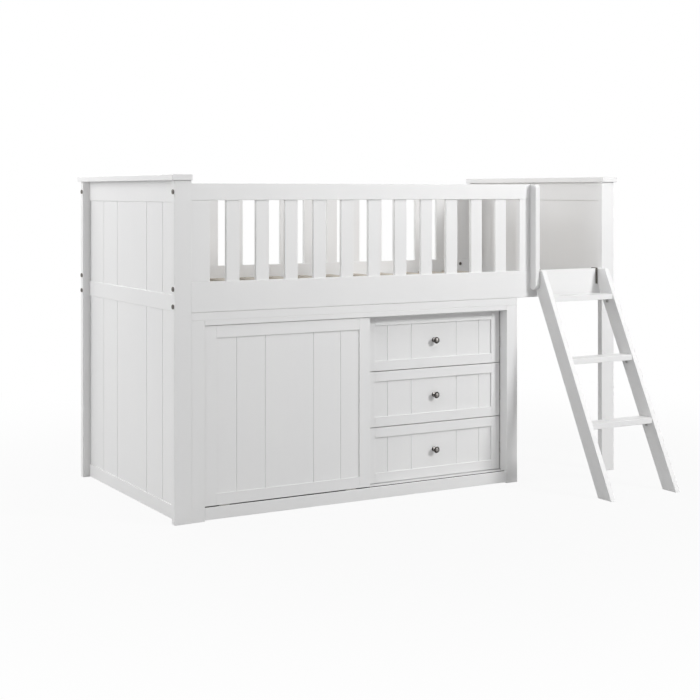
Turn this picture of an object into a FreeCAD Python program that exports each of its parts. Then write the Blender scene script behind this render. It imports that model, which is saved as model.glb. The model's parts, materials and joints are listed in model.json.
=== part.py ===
"""A low loft bed over a cabinet that has a sliding door and three drawers, with a lift-off ladder.

+X runs along the bed, +Y from its front to its back and +Z up. The origin is on the floor, under the
centre of the bed and ladder together. All sizes are in millimetres.
"""
import FreeCAD, Part
import math
import os
import types

import Sketcher

SIZES = {
    # Bed ends
    "bed_length": 2000,  # outer edge to outer edge of the posts
    "bed_width": 993,  # front face to back face of the posts
    "post_height": 1217,
    "post_width": 65,
    "post_thickness": 26,
    "cap_thickness": 21,
    "cap_width": 78,
    "cap_end_overhang": 12,
    "cap_side_overhang": 8,
    "end_rail_inset": 27,  # from the outer edge of the posts
    "end_rail_thickness": 22,
    "end_top_rail_height": 78,
    "end_middle_rail_lift": 1,  # above the lower edge of the side rails
    "end_middle_rail_height": 60,
    "end_bottom_rail_low": 3,
    "end_bottom_rail_height": 50,
    "end_panel_thickness": 14,
    "end_outer_board": 160,
    "end_inner_board": 156,
    "end_groove_width": 3,
    "end_groove_depth": 5,
    # Rails and guards
    "side_rail_low": 747,
    "side_rail_height": 108,
    "side_rail_thickness": 24,
    "side_rail_reveal": 1,  # behind the face of the posts
    "guard_cap_gap": 11,  # from the guard rails up to the caps
    "guard_rail_height": 60,
    "guard_stile_width": 72,
    "guard_stile_thickness": 20,
    "guard_slat_width": 53,
    "guard_slat_thickness": 14,
    "guard_tenon": 8,
    "guard_ladder_gap": 1.5,  # from the front guard to the ladder
    "front_slat_count": 11,
    "rear_slat_count": 14,
    # Grip at the open end of the front guard
    "grip_thickness": 21,
    "grip_depth": 38,
    "grip_lift": 31,  # above the lower edge of the side rail
    "grip_head_radius": 12,
    "grip_foot_radius": 21,
    "grip_heel_radius": 14,
    # Bed base
    "ledger_lift": 19,  # above the lower edge of the side rails
    "ledger_height": 18,
    "ledger_width": 30,
    "ledger_end_gap": 90,
    "bed_slat_width": 70,
    "bed_slat_thickness": 18,
    "bed_slat_end_gap": 2,
    "bed_slat_margin": 5,
    "bed_slat_count": 13,
    # Fasteners
    "bolt_diameter": 8,
    "bolt_head_diameter": 17,
    "bolt_head_height": 3.5,
    "bolt_socket": 6,
    "bolt_socket_depth": 2.5,
    "bolt_tail": 12,
    "rail_bolt_inset": 23,
    "nut_diameter": 16,
    "nut_length": 18,
    "nut_inset": 55,
    "dowel_diameter": 8,
    "dowel_length": 32,
    # Cabinet
    "cabinet_post_gap": 0.5,
    "cabinet_length": 1431,
    "cabinet_setback": 3,
    "cabinet_depth": 500,
    "cabinet_rail_gap": 0.5,  # under the side rail
    "cabinet_top_thickness": 29,
    "cabinet_stile_width": 52,
    "cabinet_stile_depth": 48,
    "cabinet_top_rail_height": 19,
    "cabinet_bottom_rail_low": 4.5,
    "cabinet_bottom_rail_height": 43.5,
    "cabinet_board": 18,
    "cabinet_back_thickness": 6,
    "cabinet_bottom_low": 31,
    "shelf_low": 370,
    "shelf_setback": 30,
    "shelf_housing": 6,
    "drawer_bay_width": 634,
    # Sliding door
    "door_groove_setback": 10,
    "door_groove_width": 9,
    "door_groove_depth": 12,
    "track_wall": 1.5,  # of the lining in the bottom groove
    "door_width": 686,
    "door_end_gap": 2,
    "door_lift": 4,  # above the bottom rail
    "door_drop": 1.5,  # under the top rail
    "door_thickness": 17,
    "door_stile_width": 46,
    "door_rail_show": 46,  # from the cabinet's rails to the door's panel
    "door_panel_recess": 5,
    "door_panel_thickness": 6,
    "door_outer_board": 81,
    "door_inner_board": 116,
    "glide_length": 40,
    "glide_width": 8,
    "glide_inset": 60,
    "top_glide_reach": 8,  # into the groove of the top rail
    # Drawers
    "drawer_side_gap": 1.5,
    "drawer_front_gap": 3,
    "drawer_foot_gap": 3,  # under the bottom drawer
    "drawer_front_thickness": 18,
    "drawer_stile_width": 41,
    "drawer_rail_height": 38,
    "drawer_panel_recess": 6,
    "drawer_panel_thickness": 6,
    "drawer_outer_board": 58.5,
    "drawer_inner_board": 109.5,
    "drawer_box_inset": 12,
    "drawer_box_rise": 12,
    "drawer_box_height": 150,
    "drawer_box_length": 400,
    "drawer_wall": 12,
    "drawer_bottom_thickness": 6,
    "drawer_bottom_rise": 8,
    "drawer_bottom_housing": 5,
    "runner_height": 12,
    "runner_hold": 6,
    "runner_rise": 60,
    "runner_setback": 6,
    "runner_length": 400,
    "runner_play": 0.4,
    "packer_height": 40,
    "knob_length": 27,
    "knob_head_diameter": 26,
    "knob_head_rise": 6,
    "knob_head_edge": 3,
    "knob_neck_diameter": 7,
    "knob_neck_length": 8,
    "knob_base_diameter": 19,
    "knob_base_thickness": 2.5,
    "knob_flare": 2.5,
    "knob_shank_diameter": 4,
    "knob_shank_length": 20,
    # Ladder
    "ladder_reach": 474,  # foot of the ladder, in front of the posts
    "ladder_post_gap": 3.5,
    "ladder_clear_width": 305.5,
    "stringer_thickness": 22,
    "stringer_depth": 77,  # measured level
    "stringer_top_depth": 46,
    "step_first": 274,
    "step_rise": 240,
    "step_count": 3,
    "step_thickness": 22,
    "step_depth": 66,
    "hook_width": 25,
    "hook_thickness": 3,
    "hook_play": 0.5,
    "hook_front_leg": 64,
    "hook_rear_leg": 40,
    "hook_show": 7.5,  # strap seen inside the stringer
    "hook_plate_drop": 8,  # from the rail's top to the plate behind the stringer
    "bracket_leg": 16,
    "bracket_width": 14,
    "bracket_thickness": 2,
    # Finish and fits
    "edge_easing": 1.5,
    "fine_easing": 0.8,
    "v_groove_width": 5,
    "panel_housing": 6,
    "tenon_shoulder": 3,
    "fit_gap": 0.2,
    "bore_play": 0.6,
}

doc = FreeCAD.newDocument("LowLoftBed")
sheet = doc.addObject("Spreadsheet::Sheet", "Sizes")
for row, (alias, number) in enumerate(SIZES.items(), start=1):
    sheet.set(f"A{row}", alias)
    sheet.set(f"B{row}", str(number))
    sheet.setAlias(f"B{row}", alias)
doc.recompute()


class Size:
    """A length as an expression of the sheet's cells, so that what is bound to it follows the sheet."""

    def __init__(self, text):
        self.text = text

    def __str__(self):
        return self.text

    def __add__(self, other):
        return Size(f"({self} + {other})")

    def __sub__(self, other):
        return Size(f"({self} - {other})")

    def __mul__(self, other):
        return Size(f"({self} * {other})")

    def __truediv__(self, other):
        return Size(f"({self} / {other})")

    def __neg__(self):
        return Size(f"(0 - {self})")

    def root(self):
        return Size(f"sqrt({self})")

    def value(self):
        return float(sheet.evalExpression(self.text))


size = types.SimpleNamespace(**{alias: Size(f"Sizes.{alias}") for alias in SIZES})
ZERO = Size("0")

# Main planes of the bed
LEFT = -size.bed_length / 2
RIGHT = size.bed_length / 2
FRONT = (size.ladder_reach - size.bed_width - size.cap_side_overhang) / 2
BACK = FRONT + size.bed_width
RAIL_TOP = size.side_rail_low + size.side_rail_height
GUARD_TOP = size.post_height - size.guard_cap_gap
GUARD_LOW = GUARD_TOP - size.guard_rail_height
RAIL_LEFT = LEFT + size.post_width
RAIL_RIGHT = RIGHT - size.post_width
RAIL_INNER = size.side_rail_reveal + size.side_rail_thickness
RAIL_MIDDLE = size.side_rail_reveal + size.side_rail_thickness / 2
MIDDLE_RAIL_LOW = size.side_rail_low + size.end_middle_rail_lift
END_PANEL_INSET = size.end_rail_inset + (size.end_rail_thickness - size.end_panel_thickness) / 2

# Main lines of the ladder
LADDER_GAP = size.hook_thickness + size.hook_play - size.side_rail_reveal
LADDER_FOOT = FRONT - size.ladder_reach
LADDER_SLOPE = (size.ladder_reach - LADDER_GAP - size.stringer_top_depth) / RAIL_TOP
LADDER_RIGHT = RAIL_RIGHT - size.ladder_post_gap
STEPS_RIGHT = LADDER_RIGHT - size.stringer_thickness
STEPS_LEFT = STEPS_RIGHT - size.ladder_clear_width
LADDER_LEFT = STEPS_LEFT - size.stringer_thickness
FRONT_GUARD_END = LADDER_LEFT - size.guard_ladder_gap

# Turns that bring a feature's own +Z onto the named axis
TURNS = {
    "x": FreeCAD.Rotation(FreeCAD.Vector(0, 1, 0), 90),
    "y": FreeCAD.Rotation(FreeCAD.Vector(1, 0, 0), -90),
    "z": FreeCAD.Rotation(),
}
EIGHTH_TURN = FreeCAD.Rotation(FreeCAD.Vector(0, 0, 1), 45)

nodes = {}
corners = {}


def bind(target, **lengths):
    for path, length in lengths.items():
        target.setExpression(path, str(length))


def place(target, point):
    for axis, distance in zip("xyz", point):
        target.setExpression(f"Placement.Base.{axis}", str(distance))


def new_body(name, corner):
    body = doc.addObject("PartDesign::Body", name)
    body.Label = name
    place(body, corner)
    corners[body.Name] = corner
    return body


def own(body, point):
    """The point in the body's own coordinates, from the body's corner."""
    return [distance - start for distance, start in zip(point, corners[body.Name])]


def add_box(body, low, high, kind="Additive"):
    block = body.newObject(f"PartDesign::{kind}Box", "block")
    place(block, own(body, low))
    bind(block, Length=high[0] - low[0], Width=high[1] - low[1], Height=high[2] - low[2])
    return block


def cut_box(body, low, high):
    return add_box(body, low, high, "Subtractive")


def add_round(body, along, start, length, diameter, kind="Additive"):
    rod = body.newObject(f"PartDesign::{kind}Cylinder", "rod")
    rod.Placement = FreeCAD.Placement(FreeCAD.Vector(), TURNS[along])
    place(rod, own(body, start))
    bind(rod, Radius=diameter / 2, Height=length)
    return rod


def cut_round(body, along, start, length, diameter):
    return add_round(body, along, start, length, diameter, "Subtractive")


def cut_v_groove(body, x, y, low, high):
    """A V-groove that runs up the face at x, y, from one height to the other."""
    groove = body.newObject("PartDesign::SubtractiveBox", "v_groove")
    groove.Placement = FreeCAD.Placement(FreeCAD.Vector(), EIGHTH_TURN)
    place(groove, own(body, (x, y - size.v_groove_width / 2, low)))
    slant = (size.v_groove_width * size.v_groove_width / 2).root()
    bind(groove, Length=slant, Width=slant, Height=high - low)


def ease_edges(body, feature, easing):
    fillet = body.newObject("PartDesign::Fillet", "eased_edges")
    fillet.Base = (feature, [])
    fillet.UseAllEdges = True
    bind(fillet, Radius=easing)


def board(name, low, high, easing=size.edge_easing):
    """A board between two corners, with all its edges eased."""
    body = new_body(name, low)
    ease_edges(body, add_box(body, low, high), easing)
    return body


def keep(body):
    """Hands the body in as a node of its own."""
    nodes[body.Label] = body
    return body


def group(name, bodies):
    """Hands several separate solids in as one node."""
    compound = doc.addObject("Part::Compound", name)
    compound.Label = name
    compound.Links = bodies
    nodes[name] = compound


def origin_feature(body, role):
    return next(feature for feature in body.Origin.OriginFeatures if feature.Role == role)


def outward_arc(start, end, radius):
    """The short arc from start to end that bulges away from an outline taken counter-clockwise."""
    chord = end - start
    half = chord.Length / 2
    normal = FreeCAD.Vector(-chord.y, chord.x, 0).normalize()
    centre = (start + end) / 2 + normal * math.sqrt(max(radius * radius - half * half, 0))
    angles = [math.atan2(point.y - centre.y, point.x - centre.x) for point in (start, end)]
    circle = Part.Circle(centre, FreeCAD.Vector(0, 0, 1), radius)
    return Part.ArcOfCircle(circle, angles[0], angles[1])


def outline(body, points, arcs=None):
    """A closed outline in the body's YZ plane, counter-clockwise, with each point held by two distances.

    arcs gives the radius of the outward arc that leaves a point, by the point's number.
    """
    arcs = arcs or {}
    sketch = body.newObject("Sketcher::SketchObject", "outline")
    sketch.AttachmentSupport = [(origin_feature(body, "YZ_Plane"), "")]
    sketch.MapMode = "FlatFace"
    spots = [FreeCAD.Vector(across.value(), up.value(), 0) for across, up in points]
    count = len(spots)
    for number, start in enumerate(spots):
        end = spots[(number + 1) % count]
        if number in arcs:
            sketch.addGeometry(outward_arc(start, end, arcs[number].value()), False)
        else:
            sketch.addGeometry(Part.LineSegment(start, end), False)
    for number in range(count):
        sketch.addConstraint(Sketcher.Constraint("Coincident", number, 2, (number + 1) % count, 1))
    for number, spot in enumerate(points):
        for kind, distance in zip(("DistanceX", "DistanceY"), spot):
            held = sketch.addConstraint(Sketcher.Constraint(kind, -1, 1, number, 1, distance.value()))
            sketch.setExpression(f"Constraints[{held}]", str(distance))
    for number, radius in arcs.items():
        held = sketch.addConstraint(Sketcher.Constraint("Radius", number, radius.value()))
        sketch.setExpression(f"Constraints[{held}]", str(radius))
    return sketch


def profile_board(name, corner, points, thickness, arcs=None, easing=None):
    """A piece cut to an outline in the YZ plane, given from its corner, and as thick as given along X."""
    body = new_body(name, corner)
    pad = body.newObject("PartDesign::Pad", "pad")
    pad.Profile = outline(body, points, arcs)
    bind(pad, Length=thickness)
    body.Tip = pad
    if easing is not None:
        ease_edges(body, pad, easing)
    return body


def end_span(end, near, far):
    """X limits of what lies between two insets from the outer edge of the left or right posts."""
    if end == "left":
        return LEFT + near, LEFT + far
    return RIGHT - far, RIGHT - near


def side_span(side, near, far):
    """Y limits of what lies between two insets from the outer face of the front or rear posts."""
    if side == "front":
        return FRONT + near, FRONT + far
    return BACK - far, BACK - near


def corners_of(x_span, y_span, z_span):
    return tuple(zip(x_span, y_span, z_span))


def build_post(end, side, groove_low):
    """A flat post with a groove in its inner edge for the end rails and panels."""
    x_span = end_span(end, ZERO, size.post_width)
    y_span = side_span(side, ZERO, size.post_thickness)
    post = board(f"{end}_{side}_post", *corners_of(x_span, y_span, (ZERO, size.post_height)))
    near = END_PANEL_INSET - size.fit_gap
    groove_x = end_span(end, near, near + size.end_panel_thickness + size.fit_gap * 2)
    groove_depth = size.panel_housing + size.fit_gap
    groove_y = side_span(side, size.post_thickness - groove_depth, size.post_thickness)
    cut_box(post, *corners_of(groove_x, groove_y, (groove_low, size.post_height)))
    return keep(post)


def build_end_rail(name, end, low, high, grooved_below, grooved_above):
    """A rail between two posts, with stub tenons in the posts' grooves and grooves for its panels."""
    x_span = end_span(end, size.end_rail_inset, size.end_rail_inset + size.end_rail_thickness)
    y_span = (FRONT + size.post_thickness, BACK - size.post_thickness)
    rail = board(name, *corners_of(x_span, y_span, (low, high)))
    panel_x = end_span(end, END_PANEL_INSET, END_PANEL_INSET + size.end_panel_thickness)
    tenon_z = (low + size.tenon_shoulder, high - size.tenon_shoulder)
    reach_y = (y_span[0] - size.panel_housing, y_span[1] + size.panel_housing)
    for tenon_y in ((reach_y[0], y_span[0]), (y_span[1], reach_y[1])):
        add_box(rail, *corners_of(panel_x, tenon_y, tenon_z))
    groove_x = (panel_x[0] - size.fit_gap, panel_x[1] + size.fit_gap)
    groove_depth = size.panel_housing + size.fit_gap
    if grooved_below:
        cut_box(rail, *corners_of(groove_x, reach_y, (low, low + groove_depth)))
    if grooved_above:
        cut_box(rail, *corners_of(groove_x, reach_y, (high - groove_depth, high)))
    return keep(rail)


def build_end_panel(name, end, low, high):
    """A panel housed in posts and rails, with square grooves on the outer face beside each of its boards."""
    x_span = end_span(end, END_PANEL_INSET, END_PANEL_INSET + size.end_panel_thickness)
    opening = (FRONT + size.post_thickness, BACK - size.post_thickness)
    y_span = (opening[0] - size.panel_housing, opening[1] + size.panel_housing)
    z_span = (low - size.panel_housing, high + size.panel_housing)
    panel = new_body(name, (x_span[0], y_span[0], z_span[0]))
    add_box(panel, *corners_of(x_span, y_span, z_span))
    groove_x = end_span(end, END_PANEL_INSET, END_PANEL_INSET + size.end_groove_depth)
    two_boards = size.end_outer_board + size.end_inner_board
    for inset in (ZERO, size.end_outer_board, two_boards):
        front_y = opening[0] + inset
        rear_y = opening[1] - inset
        cut_box(panel, *corners_of(groove_x, (front_y, front_y + size.end_groove_width), z_span))
        cut_box(panel, *corners_of(groove_x, (rear_y - size.end_groove_width, rear_y), z_span))
    keep(panel)


def build_cap(end):
    x_span = end_span(end, -size.cap_end_overhang, size.cap_width - size.cap_end_overhang)
    y_span = (FRONT - size.cap_side_overhang, BACK + size.cap_side_overhang)
    z_span = (size.post_height, size.post_height + size.cap_thickness)
    return keep(board(f"{end}_cap", *corners_of(x_span, y_span, z_span)))


def build_dowels(end, posts, top_rail, cap):
    """Dowels that hold the cap on the posts and on the top rail."""
    post_x = end_span(end, size.post_width / 2, size.post_width / 2)[0]
    rail_middle = size.end_rail_inset + size.end_rail_thickness / 2
    rail_x = end_span(end, rail_middle, rail_middle)[0]
    third = size.bed_width / 3
    places = [
        (posts["front"], post_x, FRONT + size.post_thickness / 2),
        (posts["rear"], post_x, BACK - size.post_thickness / 2),
        (top_rail, rail_x, FRONT + third),
        (top_rail, rail_x, BACK - third),
    ]
    low = size.post_height - size.dowel_length / 2
    bore = size.dowel_diameter + size.fit_gap * 2
    dowels = []
    for number, (holder, x, y) in enumerate(places, start=1):
        start = (x, y, low)
        cut_round(holder, "z", start, size.dowel_length, bore)
        cut_round(cap, "z", start, size.dowel_length, bore)
        dowel = new_body(f"{end}_cap_dowel_{number}", start)
        add_round(dowel, "z", start, size.dowel_length, size.dowel_diameter)
        dowels.append(dowel)
    return dowels


def build_end(end):
    """One end of the bed: two posts, rails, panels and a cap. Only the left end is closed to the floor."""
    closed = end == "left"
    middle_top = MIDDLE_RAIL_LOW + size.end_middle_rail_height
    top_rail_low = size.post_height - size.end_top_rail_height
    groove_low = size.end_bottom_rail_low if closed else MIDDLE_RAIL_LOW
    posts = {side: build_post(end, side, groove_low) for side in ("front", "rear")}
    top_rail = build_end_rail(f"{end}_top_rail", end, top_rail_low, size.post_height, True, False)
    middle_name = "left_middle_rail" if closed else "right_lower_rail"
    build_end_rail(middle_name, end, MIDDLE_RAIL_LOW, middle_top, closed, True)
    upper_name = "left_upper_panel" if closed else "right_panel"
    build_end_panel(upper_name, end, middle_top, top_rail_low)
    if closed:
        bottom_top = size.end_bottom_rail_low + size.end_bottom_rail_height
        build_end_rail("left_bottom_rail", end, size.end_bottom_rail_low, bottom_top, False, True)
        build_end_panel("left_lower_panel", end, bottom_top, MIDDLE_RAIL_LOW)
    cap = build_cap(end)
    return posts, build_dowels(end, posts, top_rail, cap)


def cut_mortises(rail, first_x, pitch, count, y_span, z_span):
    """A row of mortises for the guard's slats."""
    x_span = (first_x - size.fit_gap, first_x + size.guard_slat_width + size.fit_gap)
    wide_y = (y_span[0] - size.fit_gap, y_span[1] + size.fit_gap)
    mortise = cut_box(rail, *corners_of(x_span, wide_y, z_span))
    row = rail.newObject("PartDesign::LinearPattern", "mortise_row")
    row.Originals = [mortise]
    row.Direction = (origin_feature(rail, "X_Axis"), [""])
    bind(row, Length=pitch * (count - 1), Occurrences=count)
    rail.Tip = row


def build_bolt(name, end, side, height, post, rail):
    """A bed bolt through a post into the end of a rail, and the barrel nut that it draws up."""
    y = side_span(side, RAIL_MIDDLE, RAIL_MIDDLE)[0]
    reach = size.post_width + size.nut_inset + size.bolt_tail
    bore = size.bolt_diameter + size.bore_play
    head_x = end_span(end, -size.bolt_head_height, ZERO)
    shank_x = end_span(end, ZERO, reach)
    rail_x = end_span(end, size.post_width, reach + size.bore_play)
    nut_x = end_span(end, size.post_width + size.nut_inset, size.post_width + size.nut_inset)[0]
    cut_round(post, "x", (end_span(end, ZERO, size.post_width)[0], y, height), size.post_width, bore)
    cut_round(rail, "x", (rail_x[0], y, height), rail_x[1] - rail_x[0], bore)
    bolt = new_body(f"{name}_bolt", (shank_x[0], y, height))
    add_round(bolt, "x", (shank_x[0], y, height), reach, size.bolt_diameter)
    add_round(bolt, "x", (head_x[0], y, height), size.bolt_head_height, size.bolt_head_diameter)
    socket = bolt.newObject("PartDesign::SubtractivePrism", "socket")
    socket.Placement = FreeCAD.Placement(FreeCAD.Vector(), TURNS["x"])
    socket.Polygon = 6
    socket_inset = -size.bolt_head_height
    socket_x = end_span(end, socket_inset, socket_inset + size.bolt_socket_depth)
    place(socket, own(bolt, (socket_x[0], y, height)))
    bind(socket, Circumradius=size.bolt_socket / Size("3").root(), Height=size.bolt_socket_depth)
    inner_y = side_span(side, RAIL_MIDDLE - size.nut_length / 2, RAIL_INNER)
    access = size.nut_diameter + size.bore_play
    cut_round(rail, "y", (nut_x, inner_y[0], height), inner_y[1] - inner_y[0], access)
    nut_y = side_span(side, RAIL_MIDDLE - size.nut_length / 2, RAIL_MIDDLE + size.nut_length / 2)
    nut = new_body(f"{name}_nut", (nut_x, nut_y[0], height))
    add_round(nut, "y", (nut_x, nut_y[0], height), size.nut_length, size.nut_diameter)
    cut_round(nut, "x", (nut_x - size.nut_diameter, y, height), size.nut_diameter * 2, bore)
    return bolt, nut


def build_side(side, posts, guard_end, slat_count):
    """One long side: the side rail, and a guard of slats under a top rail."""
    y_span = side_span(side, size.side_rail_reveal, RAIL_INNER)
    stile_inset = RAIL_MIDDLE - size.guard_stile_thickness / 2
    stile_y = side_span(side, stile_inset, stile_inset + size.guard_stile_thickness)
    slat_inset = RAIL_MIDDLE - size.guard_slat_thickness / 2
    slat_y = side_span(side, slat_inset, slat_inset + size.guard_slat_thickness)
    rail_z = (size.side_rail_low, RAIL_TOP)
    rail = board(f"{side}_side_rail", *corners_of((RAIL_LEFT, RAIL_RIGHT), y_span, rail_z))
    guard_z = (GUARD_LOW, GUARD_TOP)
    guard = board(f"{side}_guard_rail", *corners_of((RAIL_LEFT, guard_end), y_span, guard_z))
    slats_width = slat_count * size.guard_slat_width
    stiles_width = size.guard_stile_width * 2
    gaps_width = guard_end - RAIL_LEFT - stiles_width - slats_width
    gap = gaps_width / (slat_count + 1)
    pitch = gap + size.guard_slat_width
    first_x = RAIL_LEFT + size.guard_stile_width + gap
    tenon = size.guard_tenon + size.fit_gap
    cut_mortises(rail, first_x, pitch, slat_count, slat_y, (RAIL_TOP - tenon, RAIL_TOP))
    cut_mortises(guard, first_x, pitch, slat_count, slat_y, (guard_z[0], guard_z[0] + tenon))
    slat_z = (RAIL_TOP - size.guard_tenon, GUARD_LOW + size.guard_tenon)
    slats = []
    for number in range(int(slat_count.value())):
        slat_low = first_x + pitch * number
        slat_x = (slat_low, slat_low + size.guard_slat_width)
        slats.append(board(f"{side}_guard_slat_{number + 1}", *corners_of(slat_x, slat_y, slat_z)))
    stile_z = (RAIL_TOP, GUARD_LOW)
    stiles = []
    stile_width = size.guard_stile_width
    stile_spans = ((RAIL_LEFT, RAIL_LEFT + stile_width), (guard_end - stile_width, guard_end))
    for number, stile_x in enumerate(stile_spans, start=1):
        stiles.append(board(f"{side}_guard_stile_{number}", *corners_of(stile_x, stile_y, stile_z)))
    group(f"{side}_guard_slats", slats)
    group(f"{side}_guard_stiles", stiles)
    keep(rail)
    keep(guard)
    bolts = []
    nuts = []
    rail_heights = (size.side_rail_low + size.rail_bolt_inset, RAIL_TOP - size.rail_bolt_inset)
    for end in ("left", "right"):
        joints = [(height, rail) for height in rail_heights]
        if end == "left" or side == "rear":
            joints.append((GUARD_LOW + size.guard_rail_height / 2, guard))
        for number, (height, member) in enumerate(joints, start=1):
            name = f"{end}_{side}_{number}"
            bolt, nut = build_bolt(name, end, side, height, posts[end][side], member)
            bolts.append(bolt)
            nuts.append(nut)
    return bolts, nuts


def build_grip():
    """The grip beside the ladder: a board that stands out from the faces of the guard and the side rail."""
    low = size.side_rail_low + size.grip_lift
    rear_face = FRONT + size.side_rail_reveal
    corner = (FRONT_GUARD_END - size.grip_thickness, rear_face - size.grip_depth, low)
    height = GUARD_TOP - low
    points = [
        (size.grip_foot_radius, ZERO),
        (size.grip_depth - size.grip_heel_radius, ZERO),
        (size.grip_depth, size.grip_heel_radius),
        (size.grip_depth, height),
        (size.grip_head_radius, height),
        (ZERO, height - size.grip_head_radius),
        (ZERO, size.grip_foot_radius),
    ]
    arcs = {1: size.grip_heel_radius, 4: size.grip_head_radius, 6: size.grip_foot_radius}
    keep(profile_board("grip_board", corner, points, size.grip_thickness, arcs, size.edge_easing))


def build_bed_base():
    """Ledgers along the side rails, and the slats that lie on them."""
    ledger_x = (RAIL_LEFT + size.ledger_end_gap, RAIL_RIGHT - size.ledger_end_gap)
    ledger_low = size.side_rail_low + size.ledger_lift
    ledger_top = ledger_low + size.ledger_height
    ledgers = []
    for side in ("front", "rear"):
        y_span = side_span(side, RAIL_INNER, RAIL_INNER + size.ledger_width)
        ledger_z = (ledger_low, ledger_top)
        ledgers.append(board(f"{side}_slat_ledger", *corners_of(ledger_x, y_span, ledger_z)))
    group("slat_ledgers", ledgers)
    slat_y = (FRONT + RAIL_INNER + size.bed_slat_end_gap, BACK - RAIL_INNER - size.bed_slat_end_gap)
    slat_z = (ledger_top, ledger_top + size.bed_slat_thickness)
    first_x = ledger_x[0] + size.bed_slat_margin
    room = ledger_x[1] - ledger_x[0] - size.bed_slat_margin * 2 - size.bed_slat_width
    pitch = room / (size.bed_slat_count - 1)
    slats = []
    for number in range(int(size.bed_slat_count.value())):
        low = first_x + pitch * number
        slat_x = (low, low + size.bed_slat_width)
        slats.append(board(f"bed_slat_{number + 1}", *corners_of(slat_x, slat_y, slat_z)))
    group("bed_slats", slats)


# Main planes of the cabinet
CABINET_LEFT = RAIL_LEFT + size.cabinet_post_gap
CABINET_RIGHT = CABINET_LEFT + size.cabinet_length
CABINET_FRONT = FRONT + size.cabinet_setback
CABINET_BACK = CABINET_FRONT + size.cabinet_depth
CABINET_TOP = size.side_rail_low - size.cabinet_rail_gap
CASE_TOP = CABINET_TOP - size.cabinet_top_thickness
CASE_FRONT = CABINET_FRONT + size.cabinet_stile_depth
CASE_BACK = CABINET_BACK - size.cabinet_back_thickness
CASE_FLOOR = size.cabinet_bottom_low + size.cabinet_board
OPENING_LEFT = CABINET_LEFT + size.cabinet_stile_width
OPENING_RIGHT = CABINET_RIGHT - size.cabinet_stile_width
OPENING_TOP = CASE_TOP - size.cabinet_top_rail_height
BOTTOM_RAIL_TOP = size.cabinet_bottom_rail_low + size.cabinet_bottom_rail_height
DIVIDER_RIGHT = OPENING_RIGHT - size.drawer_bay_width
DIVIDER_LEFT = DIVIDER_RIGHT - size.cabinet_board
DRAWERS = ("bottom", "middle", "top")
DRAWERS_FLOOR = CASE_FLOOR + size.drawer_foot_gap - size.drawer_front_gap / 2
DRAWER_PITCH = (OPENING_TOP - DRAWERS_FLOOR) / len(DRAWERS)
DRAWER_LEFT = DIVIDER_RIGHT + size.drawer_side_gap
DRAWER_RIGHT = OPENING_RIGHT - size.drawer_side_gap
DRAWER_BACK = CASE_FRONT + size.drawer_front_thickness


def drawer_low(number):
    return DRAWERS_FLOOR + DRAWER_PITCH * number + size.drawer_front_gap / 2


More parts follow.
